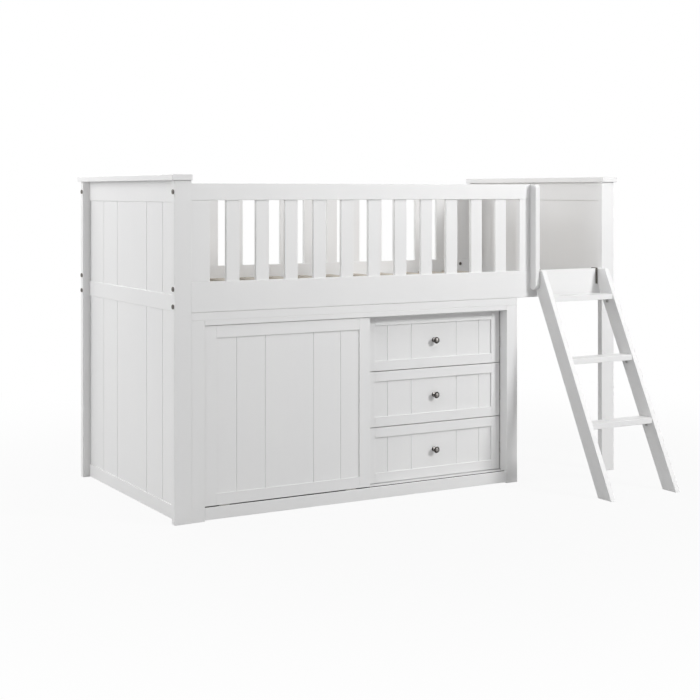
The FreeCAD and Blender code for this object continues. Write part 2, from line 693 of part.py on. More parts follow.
def build_cabinet():
    """The case that stands under the bed: boards, front frame with the door's grooves, and a shelf."""
    depth = (CASE_FRONT, CASE_BACK)
    sides = {
        "left": (CABINET_LEFT, CABINET_LEFT + size.cabinet_board),
        "right": (CABINET_RIGHT - size.cabinet_board, CABINET_RIGHT),
    }
    cases = {}
    for name, x_span in sides.items():
        cases[name] = keep(board(f"cabinet_{name}_side", *corners_of(x_span, depth, (ZERO, CASE_TOP))))
    bay = (sides["left"][1], sides["right"][0])
    keep(board("cabinet_bottom", *corners_of(bay, depth, (size.cabinet_bottom_low, CASE_FLOOR))))
    divider_x = (DIVIDER_LEFT, DIVIDER_RIGHT)
    divider = keep(board("cabinet_divider", *corners_of(divider_x, depth, (CASE_FLOOR, CASE_TOP))))
    whole_x = (CABINET_LEFT, CABINET_RIGHT)
    top_y = (CABINET_FRONT, CABINET_BACK)
    keep(board("cabinet_top", *corners_of(whole_x, top_y, (CASE_TOP, CABINET_TOP))))
    back_y = (CASE_BACK, CABINET_BACK)
    keep(board("cabinet_back", *corners_of(whole_x, back_y, (ZERO, CASE_TOP)), size.fine_easing))
    shelf_x = (bay[0] - size.shelf_housing, DIVIDER_LEFT + size.shelf_housing)
    shelf_y = (CASE_FRONT + size.shelf_setback, CASE_BACK)
    shelf_z = (size.shelf_low, size.shelf_low + size.cabinet_board)
    keep(board("cabinet_shelf", *corners_of(shelf_x, shelf_y, shelf_z)))
    housing_y = (shelf_y[0] - size.fit_gap, shelf_y[1])
    housing_z = (shelf_z[0] - size.fit_gap, shelf_z[1] + size.fit_gap)
    cut_box(cases["left"], *corners_of((shelf_x[0] - size.fit_gap, bay[0]), housing_y, housing_z))
    cut_box(divider, *corners_of((DIVIDER_LEFT, shelf_x[1] + size.fit_gap), housing_y, housing_z))
    frame_y = (CABINET_FRONT, CASE_FRONT)
    stile_spans = {"left": (CABINET_LEFT, OPENING_LEFT), "right": (OPENING_RIGHT, CABINET_RIGHT)}
    stiles = []
    for name, x_span in stile_spans.items():
        stiles.append(board(f"cabinet_{name}_stile", *corners_of(x_span, frame_y, (ZERO, CASE_TOP))))
    group("cabinet_stiles", stiles)
    opening_x = (OPENING_LEFT, OPENING_RIGHT)
    groove_low_y = CABINET_FRONT + size.door_groove_setback
    groove_y = (groove_low_y, groove_low_y + size.door_groove_width)
    top_rail = keep(board("cabinet_top_rail", *corners_of(opening_x, frame_y, (OPENING_TOP, CASE_TOP))))
    cut_box(top_rail, *corners_of(opening_x, groove_y, (OPENING_TOP, OPENING_TOP + size.door_groove_depth)))
    bottom_z = (size.cabinet_bottom_rail_low, BOTTOM_RAIL_TOP)
    bottom_rail = keep(board("cabinet_bottom_rail", *corners_of(opening_x, frame_y, bottom_z)))
    track_y = (groove_y[0] - size.track_wall, groove_y[1] + size.track_wall)
    groove_floor = BOTTOM_RAIL_TOP - size.door_groove_depth
    track_z = (groove_floor - size.track_wall, BOTTOM_RAIL_TOP)
    housing_y = (track_y[0] - size.fit_gap, track_y[1] + size.fit_gap)
    cut_box(bottom_rail, *corners_of(opening_x, housing_y, track_z))
    track = keep(new_body("door_track", (OPENING_LEFT, track_y[0], track_z[0])))
    add_box(track, *corners_of(opening_x, track_y, track_z))
    cut_box(track, *corners_of(opening_x, groove_y, (groove_floor, BOTTOM_RAIL_TOP)))


def build_drawer_runners():
    """Wooden runners for the drawers, on the divider and on packers behind the right stile."""
    inner = size.drawer_box_inset + size.runner_hold
    y_low = DRAWER_BACK + size.runner_setback
    y_span = (y_low, y_low + size.runner_length)
    packer_x = (OPENING_RIGHT, CABINET_RIGHT - size.cabinet_board)
    runner_spans = {
        "left": (DIVIDER_RIGHT, DRAWER_LEFT + inner),
        "right": (DRAWER_RIGHT - inner, OPENING_RIGHT),
    }
    pieces = []
    for number, drawer in enumerate(DRAWERS):
        low = drawer_low(number) + size.drawer_box_rise + size.runner_rise
        for name, x_span in runner_spans.items():
            runner_z = (low, low + size.runner_height)
            span = corners_of(x_span, y_span, runner_z)
            pieces.append(board(f"{drawer}_{name}_runner", *span, size.fine_easing))
        packer_low = low - (size.packer_height - size.runner_height) / 2
        packer_z = (packer_low, packer_low + size.packer_height)
        pieces.append(board(f"{drawer}_packer", *corners_of(packer_x, y_span, packer_z)))
    group("drawer_runners", pieces)


def framed_front(name, low, high, stile, rails, recess, panel_thickness, boards):
    """A frame of two stiles and two rails round a housed panel with V-grooves, facing the front.

    rails gives the height of the bottom and top rail, boards the width of the outer and inner board.
    """
    depth = (low[1], high[1])
    inner_x = (low[0] + stile, high[0] - stile)
    inner_z = (low[2] + rails[0], high[2] - rails[1])
    panel_y = (low[1] + recess, low[1] + recess + panel_thickness)
    groove_y = (panel_y[0] - size.fit_gap, panel_y[1] + size.fit_gap)
    groove_depth = size.panel_housing + size.fit_gap
    whole_z = (low[2], high[2])
    left = board(f"{name}_left_stile", *corners_of((low[0], inner_x[0]), depth, whole_z), size.fine_easing)
    right = board(f"{name}_right_stile", *corners_of((inner_x[1], high[0]), depth, whole_z), size.fine_easing)
    groove_z = (low[2] + size.tenon_shoulder, high[2] - size.tenon_shoulder)
    cut_box(left, *corners_of((inner_x[0] - groove_depth, inner_x[0]), groove_y, groove_z))
    cut_box(right, *corners_of((inner_x[1], inner_x[1] + groove_depth), groove_y, groove_z))
    members = [left, right]
    reach_x = (inner_x[0] - size.panel_housing, inner_x[1] + size.panel_housing)
    rail_spans = {"bottom": (low[2], inner_z[0]), "top": (inner_z[1], high[2])}
    groove_spans = {
        "bottom": (inner_z[0] - groove_depth, inner_z[0]),
        "top": (inner_z[1], inner_z[1] + groove_depth),
    }
    for place_name, z_span in rail_spans.items():
        rail = board(f"{name}_{place_name}_rail", *corners_of(inner_x, depth, z_span), size.fine_easing)
        tenon_z = (z_span[0] + size.tenon_shoulder, z_span[1] - size.tenon_shoulder)
        add_box(rail, *corners_of((reach_x[0], inner_x[0]), panel_y, tenon_z))
        add_box(rail, *corners_of((inner_x[1], reach_x[1]), panel_y, tenon_z))
        cut_box(rail, *corners_of(reach_x, groove_y, groove_spans[place_name]))
        members.append(rail)
    panel_z = (inner_z[0] - size.panel_housing, inner_z[1] + size.panel_housing)
    panel = new_body(f"{name}_panel", (reach_x[0], panel_y[0], panel_z[0]))
    add_box(panel, *corners_of(reach_x, panel_y, panel_z))
    for inset in (boards[0], boards[0] + boards[1]):
        cut_v_groove(panel, inner_x[0] + inset, panel_y[0], *panel_z)
        cut_v_groove(panel, inner_x[1] - inset, panel_y[0], *panel_z)
    return members, panel


def build_door():
    """The sliding door, with glides on its edges that run in the grooves of the cabinet's front frame."""
    low_x = OPENING_LEFT + size.door_end_gap
    low_y = CABINET_FRONT + size.door_groove_setback + (size.door_groove_width - size.door_thickness) / 2
    low_z = BOTTOM_RAIL_TOP + size.door_lift
    high = (low_x + size.door_width, low_y + size.door_thickness, OPENING_TOP - size.door_drop)
    rails = (size.door_rail_show - size.door_lift, size.door_rail_show - size.door_drop)
    boards = (size.door_outer_board, size.door_inner_board)
    members, panel = framed_front(
        "door", (low_x, low_y, low_z), high, size.door_stile_width, rails,
        size.door_panel_recess, size.door_panel_thickness, boards,
    )
    group("door_frame", members)
    keep(panel)
    middle_y = low_y + size.door_thickness / 2
    glide_y = (middle_y - size.glide_width / 2, middle_y + size.glide_width / 2)
    glide_spans = {
        "bottom": (BOTTOM_RAIL_TOP - size.door_groove_depth + size.fit_gap, low_z),
        "top": (high[2], OPENING_TOP + size.top_glide_reach),
    }
    glides = []
    right_x = high[0] - size.glide_inset - size.glide_length
    for end, x in (("left", low_x + size.glide_inset), ("right", right_x)):
        glide_x = (x, x + size.glide_length)
        for level, glide_z in glide_spans.items():
            span = corners_of(glide_x, glide_y, glide_z)
            glides.append(board(f"door_{level}_{end}_glide", *span, size.fine_easing))
    group("door_glides", glides)


def build_drawer_box(name, low):
    """A drawer's box: two grooved sides, a front and a back between them, and a housed bottom."""
    x_span = (DRAWER_LEFT + size.drawer_box_inset, DRAWER_RIGHT - size.drawer_box_inset)
    y_span = (DRAWER_BACK, DRAWER_BACK + size.drawer_box_length)
    box_low = low + size.drawer_box_rise
    z_span = (box_low, box_low + size.drawer_box_height)
    inner_x = (x_span[0] + size.drawer_wall, x_span[1] - size.drawer_wall)
    front_y = (y_span[0], y_span[0] + size.drawer_wall)
    back_y = (y_span[1] - size.drawer_wall, y_span[1])
    bottom_low = box_low + size.drawer_bottom_rise
    bottom_z = (bottom_low, bottom_low + size.drawer_bottom_thickness)
    groove_z = (bottom_z[0] - size.fit_gap, bottom_z[1] + size.fit_gap)
    bottom_x = (inner_x[0] - size.drawer_bottom_housing, inner_x[1] + size.drawer_bottom_housing)
    bottom_y = (front_y[1] - size.drawer_bottom_housing, back_y[0] + size.drawer_bottom_housing)
    groove_x = (bottom_x[0] - size.fit_gap, bottom_x[1] + size.fit_gap)
    groove_y = (bottom_y[0] - size.fit_gap, bottom_y[1] + size.fit_gap)
    runner_low = box_low + size.runner_rise
    slide_z = (runner_low - size.runner_play, runner_low + size.runner_height + size.runner_play)
    slide_depth = size.runner_hold + size.runner_play
    left_x = (x_span[0], inner_x[0])
    left = board(f"{name}_left_wall", *corners_of(left_x, y_span, z_span), size.fine_easing)
    cut_box(left, *corners_of((x_span[0], x_span[0] + slide_depth), y_span, slide_z))
    right_x = (inner_x[1], x_span[1])
    right = board(f"{name}_right_wall", *corners_of(right_x, y_span, z_span), size.fine_easing)
    cut_box(right, *corners_of((x_span[1] - slide_depth, x_span[1]), y_span, slide_z))
    front = board(f"{name}_inner_front", *corners_of(inner_x, front_y, z_span), size.fine_easing)
    back = board(f"{name}_back_wall", *corners_of(inner_x, back_y, z_span), size.fine_easing)
    for wall in (left, right, front, back):
        cut_box(wall, *corners_of(groove_x, groove_y, groove_z))
    bottom = new_body(f"{name}_bottom_board", (bottom_x[0], bottom_y[0], bottom_z[0]))
    add_box(bottom, *corners_of(bottom_x, bottom_y, bottom_z))
    return [left, right, front, back, bottom], front


def build_knob(name, x, seat_y, z, holders):
    """A turned knob on the panel, with a shank through the panel and the box's front."""
    tip_y = seat_y - size.knob_length
    corner = (x, tip_y, z)
    body = new_body(name, corner)
    head = size.knob_head_diameter / 2
    neck = size.knob_neck_diameter / 2
    base = size.knob_base_diameter / 2
    shank = size.knob_shank_diameter / 2
    edge_y = size.knob_head_rise + size.knob_head_edge
    base_y = size.knob_length - size.knob_base_thickness
    neck_end = base_y - size.knob_flare
    end_y = size.knob_length + size.knob_shank_length
    points = [
        (ZERO, ZERO),
        (end_y, ZERO),
        (end_y, shank),
        (size.knob_length, shank),
        (size.knob_length, base),
        (base_y, base),
        (neck_end, neck),
        (neck_end - size.knob_neck_length, neck),
        (edge_y, head),
        (size.knob_head_rise, head),
    ]
    dome = (head * head + size.knob_head_rise * size.knob_head_rise) / (size.knob_head_rise * 2)
    sketch = outline(body, points, {9: dome})
    turned = body.newObject("PartDesign::Revolution", "turned")
    turned.Profile = sketch
    turned.ReferenceAxis = (sketch, ["H_Axis"])
    turned.Angle = 360
    body.Tip = turned
    for holder in holders:
        bore = size.knob_shank_diameter + size.fit_gap * 2
        cut_round(holder, "y", (x, seat_y, z), size.knob_shank_length, bore)
    keep(body)


def build_drawer(number):
    """One drawer: framed front, panel, box and knob."""
    name = f"{DRAWERS[number]}_drawer"
    low = drawer_low(number)
    high = low + DRAWER_PITCH - size.drawer_front_gap
    rails = (size.drawer_rail_height, size.drawer_rail_height)
    boards = (size.drawer_outer_board, size.drawer_inner_board)
    members, panel = framed_front(
        name, (DRAWER_LEFT, CASE_FRONT, low), (DRAWER_RIGHT, DRAWER_BACK, high),
        size.drawer_stile_width, rails, size.drawer_panel_recess, size.drawer_panel_thickness, boards,
    )
    group(f"{name}_front", members)
    keep(panel)
    walls, inner_front = build_drawer_box(name, low)
    group(f"{name}_box", walls)
    middle_x = (DRAWER_LEFT + DRAWER_RIGHT) / 2
    seat_y = CASE_FRONT + size.drawer_panel_recess
    build_knob(f"{name}_knob", middle_x, seat_y, (low + high) / 2, (panel, inner_front))


def build_stringers():
    """Leaning sides of the ladder, cut level at the foot and head and upright where they meet the rail."""
    head_y = size.ladder_reach - LADDER_GAP
    points = [
        (ZERO, ZERO),
        (size.stringer_depth, ZERO),
        (head_y, (head_y - size.stringer_depth) / LADDER_SLOPE),
        (head_y, RAIL_TOP),
        (head_y - size.stringer_top_depth, RAIL_TOP),
    ]
    for name, low_x in (("left", LADDER_LEFT), ("right", STEPS_RIGHT)):
        corner = (low_x, LADDER_FOOT, ZERO)
        thickness = size.stringer_thickness
        keep(profile_board(f"ladder_{name}_stringer", corner, points, thickness, None, size.edge_easing))


def build_steps():
    """Steps between the stringers, each on two angle brackets."""
    steps = []
    brackets = []
    leg = size.bracket_leg
    sheet_metal = size.bracket_thickness
    for number in range(int(size.step_count.value())):
        top = size.step_first + size.step_rise * number
        low = top - size.step_thickness
        front_y = LADDER_FOOT + LADDER_SLOPE * top
        y_span = (front_y, front_y + size.step_depth)
        x_span = (STEPS_LEFT, STEPS_RIGHT)
        steps.append(board(f"ladder_step_{number + 1}", *corners_of(x_span, y_span, (low, top))))
        bracket_y = front_y + (size.step_depth - size.bracket_width) / 2
        arms = {
            "left": ((STEPS_LEFT, STEPS_LEFT + leg), (STEPS_LEFT, STEPS_LEFT + sheet_metal)),
            "right": ((STEPS_RIGHT - leg, STEPS_RIGHT), (STEPS_RIGHT - sheet_metal, STEPS_RIGHT)),
        }
        for name, (flat_x, upright_x) in arms.items():
            arm_y = (bracket_y, bracket_y + size.bracket_width)
            bracket = new_body(f"ladder_bracket_{number + 1}_{name}", (flat_x[0], arm_y[0], low - leg))
            add_box(bracket, *corners_of(flat_x, arm_y, (low - sheet_metal, low)))
            add_box(bracket, *corners_of(upright_x, arm_y, (low - leg, low)))
            brackets.append(bracket)
    group("ladder_steps", steps)
    group("ladder_brackets", brackets)


def build_hooks():
    """Strap hooks over the side rail and down its inner face, on plates behind the stringers' heads."""
    thick = size.hook_thickness
    span = size.side_rail_thickness + size.hook_play * 2
    foot = size.hook_front_leg - size.hook_rear_leg
    crown = size.hook_front_leg + size.fit_gap + thick
    low_z = RAIL_TOP - size.hook_front_leg
    under = crown - thick
    depth = span + thick * 2
    points = [
        (ZERO, ZERO),
        (thick, ZERO),
        (thick, under),
        (thick + span, under),
        (thick + span, foot),
        (depth, foot),
        (depth, crown),
        (ZERO, crown),
    ]
    reach = size.hook_width - size.hook_show
    front_y = FRONT - LADDER_GAP
    over_y = (front_y, front_y + depth)
    over_z = (RAIL_TOP - size.hook_plate_drop, low_z + crown)
    behind_y = (front_y + thick, front_y + depth)
    behind_z = (low_z + foot, low_z + crown)
    plates = {
        "left": (STEPS_LEFT - reach, (STEPS_LEFT - reach, STEPS_LEFT)),
        "right": (STEPS_RIGHT - size.hook_show, (STEPS_RIGHT, STEPS_RIGHT + reach)),
    }
    hooks = []
    for name, (low_x, plate_x) in plates.items():
        hook = profile_board(f"ladder_{name}_hook", (low_x, front_y, low_z), points, size.hook_width)
        cut_box(hook, *corners_of(plate_x, over_y, over_z))
        cut_box(hook, *corners_of(plate_x, behind_y, behind_z))
        hooks.append(hook)
    group("ladder_hooks", hooks)


def build_bed():
    posts = {}
    dowels = []
    for end in ("left", "right"):
        posts[end], end_dowels = build_end(end)
        dowels += end_dowels
    group("cap_dowels", dowels)
    guards = {
        "front": (FRONT_GUARD_END, size.front_slat_count),
        "rear": (RAIL_RIGHT, size.rear_slat_count),
    }
    bolts = []
    nuts = []
    for side, guard in guards.items():
        side_bolts, side_nuts = build_side(side, posts, *guard)
        bolts += side_bolts
        nuts += side_nuts
    group("bed_bolts", bolts)
    group("barrel_nuts", nuts)
    build_grip()
    build_bed_base()


def check_model():
    """Stops with the names of whatever failed to build."""
    failed = [item.Label for item in doc.Objects if "Invalid" in item.State or "Error" in item.State]
    for name, node in nodes.items():
        if node.Shape.isNull() or not node.Shape.isValid() or not node.Shape.Solids:
            failed.append(name)
    if failed:
        raise RuntimeError(f"not built: {failed}")


def write_parts():
    os.makedirs("parts", exist_ok=True)
    for name, node in nodes.items():
        node.Shape.exportStep(f"parts/{name}.step")


build_bed()
build_cabinet()
build_drawer_runners()
build_door()
for drawer_number in range(len(DRAWERS)):
    build_drawer(drawer_number)
build_stringers()
build_steps()
build_hooks()
doc.recompute()
check_model()
write_parts()
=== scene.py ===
"""Looks of the low loft bed: satin white lacquer, bare pine, birch drawers and dark metal fittings."""

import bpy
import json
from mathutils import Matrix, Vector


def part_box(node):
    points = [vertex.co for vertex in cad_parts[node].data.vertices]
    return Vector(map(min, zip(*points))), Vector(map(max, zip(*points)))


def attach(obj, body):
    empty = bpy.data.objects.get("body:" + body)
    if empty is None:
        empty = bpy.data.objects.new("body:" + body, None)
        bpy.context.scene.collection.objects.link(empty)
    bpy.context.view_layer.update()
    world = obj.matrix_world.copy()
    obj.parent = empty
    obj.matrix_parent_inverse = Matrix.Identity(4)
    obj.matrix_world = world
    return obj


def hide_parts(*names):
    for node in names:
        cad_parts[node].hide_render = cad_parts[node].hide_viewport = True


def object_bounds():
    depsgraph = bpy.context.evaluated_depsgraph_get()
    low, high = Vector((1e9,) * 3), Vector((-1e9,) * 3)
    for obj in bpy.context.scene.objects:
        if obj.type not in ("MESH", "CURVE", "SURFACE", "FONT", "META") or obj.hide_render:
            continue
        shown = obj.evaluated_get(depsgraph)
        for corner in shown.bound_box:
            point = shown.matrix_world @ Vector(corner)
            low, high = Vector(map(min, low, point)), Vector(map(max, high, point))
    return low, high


bl_info = {
    "name": "Low Loft Bed",
    "version": (1, 0, 0),
    "blender": (4, 5, 0),
    "location": "View3D > Sidebar > Loft Bed",
    "description": "Finishes the low loft bed's boards, fittings and screws, and sets up its studio",
    "category": "Object",
}

import json
import math

import bmesh
import bpy
from bpy.props import FloatProperty, FloatVectorProperty, IntProperty, PointerProperty
from mathutils import Vector

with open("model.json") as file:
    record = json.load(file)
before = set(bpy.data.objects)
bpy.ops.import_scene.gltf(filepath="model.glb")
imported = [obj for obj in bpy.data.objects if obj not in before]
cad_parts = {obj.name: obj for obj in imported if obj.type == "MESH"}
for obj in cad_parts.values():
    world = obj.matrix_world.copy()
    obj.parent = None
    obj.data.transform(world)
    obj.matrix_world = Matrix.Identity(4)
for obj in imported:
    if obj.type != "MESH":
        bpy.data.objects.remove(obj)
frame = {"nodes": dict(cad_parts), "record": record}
CAD_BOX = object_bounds()

MM = 0.001
DRAWERS = ("bottom_drawer", "middle_drawer", "top_drawer")

# Distances under which points are one, in new pieces and in CAD meshes, and the angle of a sharp edge
WELD = 1e-7
CAD_WELD = 1e-6
SHARP_ANGLE = math.radians(38)

# Tones of the lacquer beside its plain colour: the warmer one, and the shade of the darker one
LACQUER_WARMTH = (1.0, 0.998, 0.992)
LACQUER_SHADE = 0.975

# Where a knob is lightened by rubbed wear and a painted highlight and reflection: the attribute, its share in
# the middle of the face, and how far out that goes
RUB_AND_HIGHLIGHT = "rub"
FACE_RUB_AND_HIGHLIGHT = 0.6
FACE_HIGHLIGHT_REACH = 0.7

# Steps in the curves of a knob's outline, and the collar's bead as a share of the head's
DOME_STEPS = 12
BEAD_STEPS = 10
CURVE_STEPS = 8
COLLAR_BEAD = 0.9

# A screw's head: its corners, and each ring's rise and width as shares of the height and the radius
SCREW_CORNERS = 12
SCREW_DOME = ((0.45, 0.97), (0.4, 0.84), (0.15, 0.6))

# A screw's cross: reach and half width as shares of the radius, depth as a share of the height, and its taper
CROSS_REACH = 0.5
CROSS_HALF = 0.13
CROSS_DEPTH = 0.7
CROSS_TAPER = 0.6

# A pin's head: its corners, and each ring's rise and width as shares of the radius and the last ring
PIN_CORNERS = 10
PIN_DOME = ((0.2, 0.95), (0.12, 0.6))

# Seats of screws and pins: the brackets' sheet metal and the place of the hole along each leg, how far
# a slat's screw stands proud, how large a knob's screw is, the least width and height of a drawer's wall,
# and the pins' distance from the back's edges and from its foot, where the cabinet's bottom is
BRACKET_SHEET = 2 * MM
BRACKET_HOLE = 0.36
SLAT_SCREW_PROUD = 0.5
KNOB_SCREW_SIZE = 1.1
DRAWER_WALL_LEAST = 100 * MM
PIN_INSET = 9 * MM
PIN_FOOT = 39 * MM

# The floor's two greys, its glow beside the bed, and the distances between which that turns into plain white
FLOOR_GREYS = ((0.5, 0.5, 0.5), (0.53, 0.53, 0.53))
FLOOR_GLOW = 0.92
FLOOR_NEAR = 1.0
FLOOR_FAR = 3.2

# Place, width and height of each soft box, and the ones that aim at the drawers
SOFT_BOXES = {
    "key": ((2.2, -3.6, 2.55), 0.8, 0.8),
    "fill": ((-3.5, 2.0, 2.2), 2.0, 2.0),
    "side": ((-5.5, -2.5, 1.8), 2.5, 2.0),
    "top": ((0.4, -1.6, 3.2), 2.4, 1.2),
    "back": ((-1.2, 4.4, 2.8), 3.0, 2.0),
}
AIMED_AT_DRAWERS = ("key", "top")

# Direction of the grain in each painted board or group of boards
UPRIGHT_BOARDS = (
    "left_front_post", "left_rear_post", "left_upper_panel", "left_lower_panel", "right_front_post",
    "right_rear_post", "right_panel", "front_guard_slats", "front_guard_stiles", "rear_guard_slats",
    "rear_guard_stiles", "grip_board", "cabinet_left_side", "cabinet_right_side",
    "cabinet_divider", "cabinet_back", "cabinet_stiles", "door_frame", "door_panel", "top_drawer_panel",
    "middle_drawer_panel", "bottom_drawer_panel", "ladder_left_stringer", "ladder_right_stringer",
)
CROSS_BOARDS = (
    "left_cap", "left_top_rail", "left_middle_rail", "left_bottom_rail", "right_cap", "right_top_rail",
    "right_lower_rail",
)
LONG_BOARDS = (
    "front_side_rail", "front_guard_rail", "rear_side_rail", "rear_guard_rail", "slat_ledgers",
    "cabinet_top", "cabinet_bottom", "cabinet_shelf", "cabinet_top_rail", "cabinet_bottom_rail",
    "top_drawer_front", "middle_drawer_front", "bottom_drawer_front", "ladder_steps",
)


class LoftBedFinish(bpy.types.PropertyGroup):
    """Colours and surface of the finishes"""

    paint: FloatVectorProperty(
        name="Paint", description="Satin white lacquer on the boards", subtype="COLOR",
        size=3, min=0, max=1, default=(0.84, 0.84, 0.842),
    )
    paint_roughness: FloatProperty(
        name="Paint roughness", description="Middle roughness of the lacquer", subtype="FACTOR",
        min=0, max=1, default=0.4,
    )
    pine: FloatVectorProperty(
        name="Pine", description="Pale early wood of the bed slats and runners", subtype="COLOR",
        size=3, min=0, max=1, default=(0.72, 0.655, 0.57),
    )
    birch: FloatVectorProperty(
        name="Birch", description="Lacquered birch of the drawer boxes", subtype="COLOR",
        size=3, min=0, max=1, default=(0.68, 0.52, 0.34),
    )
    knob_metal: FloatVectorProperty(
        name="Knob metal", description="Dark antique nickel of the knobs", subtype="COLOR",
        size=3, min=0, max=1, default=(0.05, 0.046, 0.044),
    )
    # Lighter nickel for the knobs' painted highlight and reflection on the neck and the face's middle,
    # together with rubbed wear
    knob_rub_and_highlight: FloatVectorProperty(
        name="Rubbed knob metal", description="Nickel that is rubbed bright on the knobs", subtype="COLOR",
        size=3, min=0, max=1, default=(0.5, 0.48, 0.46),
    )
    fitting_metal: FloatVectorProperty(
        name="Fitting metal", description="Blackened steel of bolts and hooks", subtype="COLOR",
        size=3, min=0, max=1, default=(0.115, 0.106, 0.097),
    )
    bracket_metal: FloatVectorProperty(
        name="Bracket metal", description="Bright zinc of the ladder's brackets", subtype="COLOR",
        size=3, min=0, max=1, default=(0.62, 0.62, 0.62),
    )
    screw_metal: FloatVectorProperty(
        name="Screw metal", description="Zinc plated screws", subtype="COLOR",
        size=3, min=0, max=1, default=(0.42, 0.41, 0.39),
    )
    nylon: FloatVectorProperty(
        name="Nylon", description="Natural nylon of the door's glides", subtype="COLOR",
        size=3, min=0, max=1, default=(0.74, 0.72, 0.66),
    )
    # Near-black track: a plastic track whose dark colour also paints the shade in the groove under the door
    track: FloatVectorProperty(
        name="Track", description="Dark plastic of the door's track", subtype="COLOR",
        size=3, min=0, max=1, default=(0.05, 0.045, 0.042),
    )


class LoftBedHardware(bpy.types.PropertyGroup):
    """Sizes of the small turned and driven pieces"""

    knob_rise: FloatProperty(
        name="Knob rise", description="How far the knob's face is domed", subtype="DISTANCE",
        unit="LENGTH", default=5 * MM,
    )
    knob_bead: FloatProperty(
        name="Knob bead", description="Radius of the bead round the knob's head", subtype="DISTANCE",
        unit="LENGTH", default=1.4 * MM,
    )
    knob_neck: FloatProperty(
        name="Knob neck", description="Radius of the knob's neck", subtype="DISTANCE", unit="LENGTH",
        default=3.4 * MM,
    )
    knob_cove: FloatProperty(
        name="Knob cove", description="Depth of the hollow behind the knob's head", subtype="DISTANCE",
        unit="LENGTH", default=3.5 * MM,
    )
    knob_flare: FloatProperty(
        name="Knob flare", description="Length of the flare from the neck to the collar",
        subtype="DISTANCE", unit="LENGTH", default=2 * MM,
    )
    knob_collar: FloatProperty(
        name="Knob collar", description="Radius of the collar at the knob's seat", subtype="DISTANCE",
        unit="LENGTH", default=9.5 * MM,
    )
    knob_shank: FloatProperty(
        name="Knob shank", description="Radius of the shank behind the knob", subtype="DISTANCE",
        unit="LENGTH", default=2 * MM,
    )
    knob_steps: IntProperty(
        name="Knob steps", description="Facets round a knob", min=12, max=96, default=56,
    )
    screw_radius: FloatProperty(
        name="Screw head", description="Radius of a wood screw's head", subtype="DISTANCE", unit="LENGTH",
        default=3.8 * MM,
    )
    screw_height: FloatProperty(
        name="Screw height", description="How far a screw's head stands proud", subtype="DISTANCE",
        unit="LENGTH", default=1.8 * MM,
    )
    pin_radius: FloatProperty(
        name="Pin head", description="Radius of a panel pin's head", subtype="DISTANCE", unit="LENGTH",
        default=2.2 * MM,
    )
    pin_pitch: FloatProperty(
        name="Pin pitch", description="Greatest distance between two panel pins", subtype="DISTANCE",
        unit="LENGTH", default=0.16,
    )


class LoftBedStage(bpy.types.PropertyGroup):
    """Camera and studio light"""

    camera_place: FloatVectorProperty(
        name="Camera", description="Place of the camera", subtype="TRANSLATION", unit="LENGTH", size=3,
        default=(-2.9229, -4.8430, 1.1769),
    )
    camera_turn: FloatProperty(
        name="Camera turn", description="Turn of the level camera from the bed's front towards its ladder",
        subtype="ANGLE", unit="ROTATION", default=math.radians(29.917),
    )
    lens: FloatProperty(
        name="Lens", description="Focal length of the camera in millimetres", min=1, default=72.0,
    )
    drop: FloatProperty(
        name="Shift", description="Upright shift of the camera", default=-0.2263,
    )
    key_power: FloatProperty(
        name="Key light", description="Power of the small soft box at the front right", subtype="POWER",
        unit="POWER", default=108,
    )
    fill_power: FloatProperty(
        name="Fill light", description="Power of the soft box at the rear left", subtype="POWER",
        unit="POWER", default=58,
    )
    side_power: FloatProperty(
        name="Side light", description="Power of the wide soft box at the front left", subtype="POWER",
        unit="POWER", default=62,
    )
    top_power: FloatProperty(
        name="Top light", description="Power of the soft box above the bed's front", subtype="POWER",
        unit="POWER", default=24,
    )
    back_power: FloatProperty(
        name="Back light", description="Power of the wide soft box behind the bed", subtype="POWER",
        unit="POWER", default=125,
    )
    ambient: FloatProperty(
        name="Ambient", description="Strength of the even light from all round", min=0, default=0.15,
    )
    floor_size: FloatProperty(
        name="Floor", description="Side of the square floor", subtype="DISTANCE", unit="LENGTH", default=60,
    )


